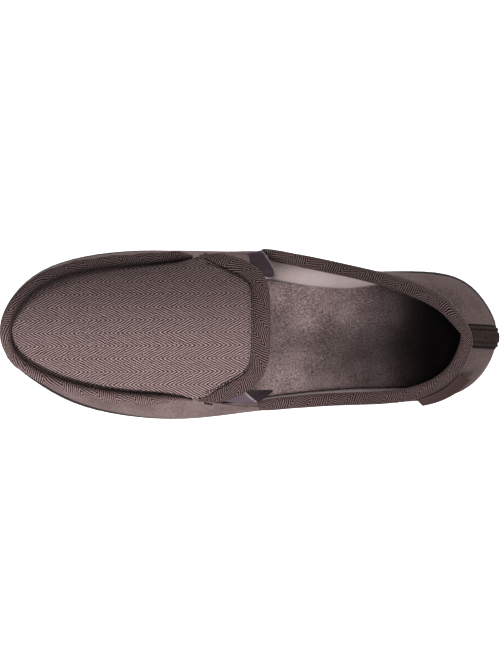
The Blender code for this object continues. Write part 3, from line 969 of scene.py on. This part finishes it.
# Painted shade: the tail is coloured near black, much darker than the gore's elastic, for the shade it lies
# in behind the rim.
tail_painted_shade_colour = add_node(
    tail_tree, "ShaderNodeMixRGB",
    {
        "Fac": tail_nap.outputs["Fac"],
        "Color1": (0.012, 0.008, 0.009, 1.0),
        "Color2": (0.05, 0.036, 0.041, 1.0),
    },
)
tail_tree.links.new(tail_painted_shade_colour.outputs["Color"], tail_shader.inputs["Base Color"])


def tail_surface(along, across):
    start = gore_surface(-1.0, 0.97, 1.0 - 0.78 * across)
    tip = Vector((13.8, -33.0 - 1.2 * (1.0 - across), 46.0))
    return start.lerp(tip, along) + Vector((0.0, 0.0, -1.5 * math.sin(math.pi * along)))


tail_mesh = cloth_sheet(24, 16, tail_surface, lambda along, across: (16.0 * along, 14.0 * across))
gore_tail = finish_piece("gore_lateral_tail", tail_mesh, tail_elastic, "gore_elastic", "gore_lateral")
thicken(gore_tail, facing_thickness, 0.0)

# Back strip: a dark gathered band of cloth down the middle of the heel, from the collar binding nearly to
# the sole, stitched down along both edges.
strip_cloth, strip_tree, strip_shader = new_material("strip_cloth_look", 0.95, 0.04)
strip_place = add_node(strip_tree, "ShaderNodeTexCoord", {}).outputs["Object"]
strip_nap = add_node(
    strip_tree, "ShaderNodeTexNoise", {"Vector": strip_place, "Scale": 500.0, "Detail": 3.0},
)
strip_colour = add_node(
    strip_tree, "ShaderNodeMixRGB",
    {
        "Fac": strip_nap.outputs["Fac"],
        "Color1": (0.009, 0.006, 0.005, 1.0),
        "Color2": (0.048, 0.034, 0.030, 1.0),
    },
)
strip_flat_place = add_node(strip_tree, "ShaderNodeUVMap", {}, uv_map="cloth").outputs["UV"]
strip_axes = add_node(strip_tree, "ShaderNodeSeparateXYZ", {"Vector": strip_flat_place})
strip_offset = add_node(
    strip_tree, "ShaderNodeMath", {0: strip_axes.outputs["Y"], 1: 0.075}, operation="SUBTRACT",
)
strip_from_middle = add_node(
    strip_tree, "ShaderNodeMath", {0: strip_offset.outputs[0]}, operation="ABSOLUTE",
)
strip_outside = add_node(
    strip_tree, "ShaderNodeMapRange",
    {"Value": strip_from_middle.outputs[0], "From Min": 0.025, "From Max": 0.065, "To Max": 0.04},
)
strip_ridge = add_node(
    strip_tree, "ShaderNodeMath", {0: strip_outside.outputs["Result"], 1: 0.013}, operation="PINGPONG",
)
strip_seam = add_node(
    strip_tree, "ShaderNodeMapRange",
    {"Value": strip_ridge.outputs[0], "From Min": 0.006, "From Max": 0.012},
)
strip_lined = add_node(
    strip_tree, "ShaderNodeMixRGB",
    {
        "Fac": strip_seam.outputs["Result"],
        "Color1": strip_colour.outputs["Color"],
        "Color2": (0.004, 0.0025, 0.002, 1.0),
    },
)
strip_tree.links.new(strip_lined.outputs["Color"], strip_shader.inputs["Base Color"])
strip_middle = 2.4
strip_half_width = 7.1


@functools.lru_cache(maxsize=None)
def strip_reach(down):
    """Turns near the heel and the distance across the shoe at each, on one level of the wall."""
    turns = np.linspace(150.0, 210.0, 121)
    return turns, np.array([wall_point(turn, down, 1.0).y for turn in turns])


def strip_surface(along, across):
    down = 3.6 + along * (wall_length(180.0) - 9.2)
    column = 2.0 * across - 1.0
    turns, reach = strip_reach(down)
    turn = float(np.interp(strip_middle + strip_half_width * column, -reach, turns))
    crown = 1.0 - abs(column) ** 6
    seams = math.exp(-((abs(column) - 0.5) / 0.1) ** 2) + math.exp(-((abs(column) - 0.85) / 0.08) ** 2)
    gather = 0.4 * math.sin(2.0 * math.pi * down / 2.7 + 1.5 * math.sin(7.0 * across)) * (1.0 - column**2)
    swell = 0.3 * math.sin(math.pi * along) ** 0.7
    return wall_point(turn, down, 0.3 + (1.0 + swell) * crown + gather - 0.8 * seams)


def strip_flat(along, across):
    return 45.0 * along, 15.0 * across


heel_mesh = cloth_sheet(90, 30, strip_surface, strip_flat)
bmesh.ops.reverse_faces(heel_mesh, faces=heel_mesh.faces)
heel_strip = finish_piece("heel_strip", heel_mesh, strip_cloth, "strip_cloth", "back_strip")
thicken(heel_strip, strip_thickness, -1.0)

# Side tab: a short dark woven tape, blank, that comes out from under the collar binding on the lateral rear
# quarter and stands off the wall.
tab_weave, tab_tree, tab_shader = new_material("tab_weave_look", 0.8, 0.2)
tab_flat = add_node(tab_tree, "ShaderNodeUVMap", {}, uv_map="cloth").outputs["UV"]
tab_threads = add_node(
    tab_tree, "ShaderNodeTexWave",
    {"Vector": tab_flat, "Scale": 40.0, "Distortion": 0.6}, bands_direction="Y",
)
tab_colour = add_node(
    tab_tree, "ShaderNodeMixRGB",
    {
        "Fac": tab_threads.outputs["Fac"],
        "Color1": (0.030, 0.016, 0.0145, 1.0),
        "Color2": (0.060, 0.035, 0.031, 1.0),
    },
)
tab_tree.links.new(tab_colour.outputs["Color"], tab_shader.inputs["Base Color"])
tab_top = 5.0
tab_drop = 10.6
tab_flare = 2.6
tab_thickness = 0.9


def tab_surface(along, across):
    down = tab_top + tab_drop * across
    turn = 211.2 + 17.6 * along - (3.8 - 1.6 * along) * across
    return wall_point(turn, down, 0.8 + tab_flare * across**1.5)


def tab_cloth(along, across):
    return 33.0 * along, 9.7 * across


tab_mesh = cloth_sheet(60, 16, tab_surface, tab_cloth)
blank_tab = finish_piece("blank_tab", tab_mesh, tab_weave, "tab_weave", "side_tab")
thicken(blank_tab, tab_thickness, 0.0)


# Stitches: dark thread pulled into the plug beside the throat binding, in a tack at the lateral notch and
# down the back strip, and pale thread along the outer hem of the collar binding.
def add_stitches(mesh, place_at, count, length, radius):
    """Row of stitches along a path given from 0 to 1, each lying along the path."""
    for number in range(count):
        share = (number + 0.5) / count
        middle = place_at(share)
        along = place_at(share + 0.2 / count) - place_at(share - 0.2 / count)
        turned = along.to_track_quat("Z", "Y").to_matrix().to_4x4()
        placed = Matrix.Translation(middle) @ turned @ Matrix.Diagonal((radius, radius, 0.5 * length, 1.0))
        bmesh.ops.create_icosphere(mesh, subdivisions=2, radius=1.0, matrix=placed)


def thread_material(name, colour):
    material, tree, shader = new_material(name, 0.8, 0.2)
    place = add_node(tree, "ShaderNodeTexCoord", {}).outputs["Object"]
    twist = add_node(tree, "ShaderNodeTexNoise", {"Vector": place, "Scale": 2500.0, "Detail": 2.0})
    mixed = add_node(
        tree, "ShaderNodeMixRGB",
        {
            "Fac": twist.outputs["Fac"],
            "Color1": (*(0.6 * part for part in colour), 1.0),
            "Color2": (*colour, 1.0),
        },
    )
    tree.links.new(mixed.outputs["Color"], shader.inputs["Base Color"])
    return material


def throat_seam(share):
    along = 0.03 + 0.94 * share
    from_end = min(along, 1.0 - along) * throat_lengths[-1]
    return throat_point(throat_column(along), throat_leg(from_end) + 0.5, -0.5)


dark_thread = thread_material("dark_thread_look", (0.022, 0.014, 0.013))
throat_stitches = bmesh.new()
add_stitches(throat_stitches, throat_seam, 52, 2.3, 0.32)
finish_piece("throat_stitches", throat_stitches, dark_thread, "binding_cloth", "throat_binding")

tack_stitches = bmesh.new()
for tack_down in (0.8, 1.4, 2.0):
    def tack_seam(share, down=tack_down):
        return wall_point(-80.2 - 2.0 * share, down, 0.1)

    add_stitches(tack_stitches, tack_seam, 3, 1.7, 0.32)
finish_piece("tack_stitches", tack_stitches, dark_thread, "upper_cloth", "upper")

strip_stitches = bmesh.new()
for strip_line in (0.08, 0.25, 0.75, 0.92):
    def strip_seam_line(share, line=strip_line):
        return strip_surface(0.04 + 0.9 * share, line)

    add_stitches(strip_stitches, strip_seam_line, 15, 1.9, 0.3)
finish_piece("strip_stitches", strip_stitches, dark_thread, "strip_cloth", "back_strip")


def collar_seam(share):
    turn = collar_turn(0.03 + 0.94 * share)
    return wall_point(turn, collar_leg(turn) - 0.6, 1.0)


pale_thread = thread_material("pale_thread_look", (0.21, 0.158, 0.151))
collar_stitches = bmesh.new()
add_stitches(collar_stitches, collar_seam, 96, 1.5, 0.22)
finish_piece("collar_stitches", collar_stitches, pale_thread, "binding_cloth", "collar_binding")
